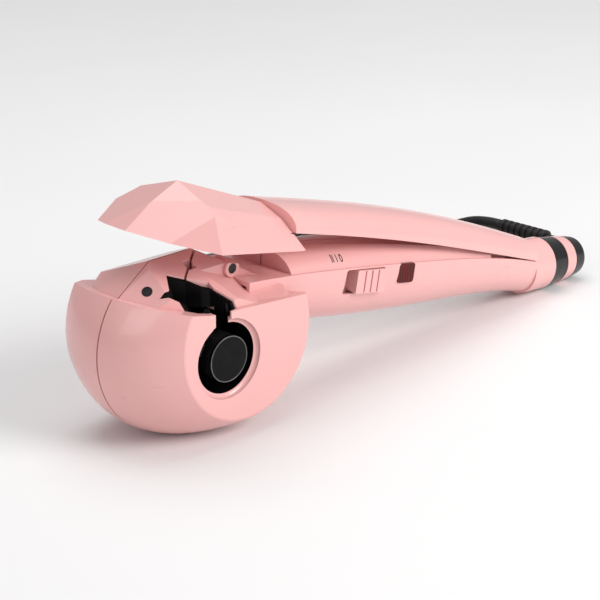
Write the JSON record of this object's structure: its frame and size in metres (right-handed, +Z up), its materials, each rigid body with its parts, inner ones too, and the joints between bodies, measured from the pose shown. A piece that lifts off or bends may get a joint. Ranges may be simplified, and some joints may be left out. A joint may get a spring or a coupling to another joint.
{
  "type": "curling iron",
  "caption": "Automatic hair curler: a round head with a heated barrel and turning hook, a faceted jaw on a sprung arm, a tapered handle with a slide switch, and a swivel cord.",
  "frame": {"origin": "on the table under the middle of the appliance, cord left out", "axes": "+X along the handle towards the cord, -Y the near side with the barrel's mouth and the switch, +Z up"},
  "size_m": [0.3142, 0.1683, 0.1083],
  "materials": {
    "pink_shell": "satin",
    "black_plastic": "gloss",
    "barrel_coat": "satin",
    "silicone": "matt",
    "black_rubber": "matt",
    "steel": "satin",
    "pin_brass": "polished",
    "board": "matt",
    "red_lens": "gloss"
  },
  "bodies": {
    "main": {"housing_near": "pink_shell", "housing_far": "pink_shell", "hair_guide_front": "pink_shell", "hair_guide_rear": "pink_shell", "guide_screws": "steel", "hair_funnel": "black_plastic", "chamber_liner": "black_plastic", "barrel": "barrel_coat", "barrel_cap": "barrel_coat", "heater_core": "steel", "thermal_fuse": "steel", "rotor_bearing": "black_plastic", "drive_motor": "steel", "motor_bracket": "steel", "control_board": "board", "microswitch": "black_plastic", "indicator_lens": "red_lens", "indicator_led": "red_lens", "tail_band": "black_plastic", "tail_ring": "pink_shell", "hinge_pin": "steel", "pivot_caps": "pink_shell", "return_spring": "steel", "housing_screws": "steel", "cord": "black_rubber", "cord_coil": "black_rubber", "cord_lead": "black_rubber", "cord_tie": "black_rubber", "plug_body": "black_rubber", "plug_pins": "pin_brass"},
    "arm": {"arm_shell": "pink_shell", "jaw_cover": "pink_shell", "jaw_pad": "silicone", "jaw_screws": "steel"},
    "switch": {"switch_slider": "pink_shell"},
    "rotor": {"rotor_drum": "black_plastic", "hair_hook": "black_plastic"},
    "pinion": {"motor_pinion": "black_plastic"},
    "swivel": {"swivel_cap": "black_plastic", "strain_relief": "black_rubber"}
  },
  "joints": [
    {"name": "arm_hinge", "type": "hinge", "parent": "main", "child": "arm", "pos_m": [0.085, 0, 0.021], "axis": [0, -1, 0], "range_deg": [0, 6.7], "stiffness_Nm_per_rad": 1.2, "springref_deg": -5.73, "deforming": ["return_spring"]},
    {"name": "switch_slide", "type": "slide", "parent": "main", "child": "switch", "axis": [-0.9823, 0, 0.1873], "range_m": [0, 0.0063]},
    {"name": "rotor_spin", "type": "hinge", "parent": "main", "child": "rotor", "pos_m": [-0.11, 0, 0.0383], "axis": [0, 1, 0], "continuous": true},
    {"name": "pinion_spin", "type": "hinge", "parent": "main", "child": "pinion", "pos_m": [-0.08876, 0, 0.03756], "axis": [0, 1, 0], "continuous": true},
    {"name": "cord_swivel", "type": "hinge", "parent": "main", "child": "swivel", "pos_m": [0.128, 0, 0.01333], "axis": [0.9945, 0, -0.1045], "continuous": true}
  ],
  "couplings": [
    {"joint": "pinion_spin", "follows": "rotor_spin", "ratio": -4}
  ]
}
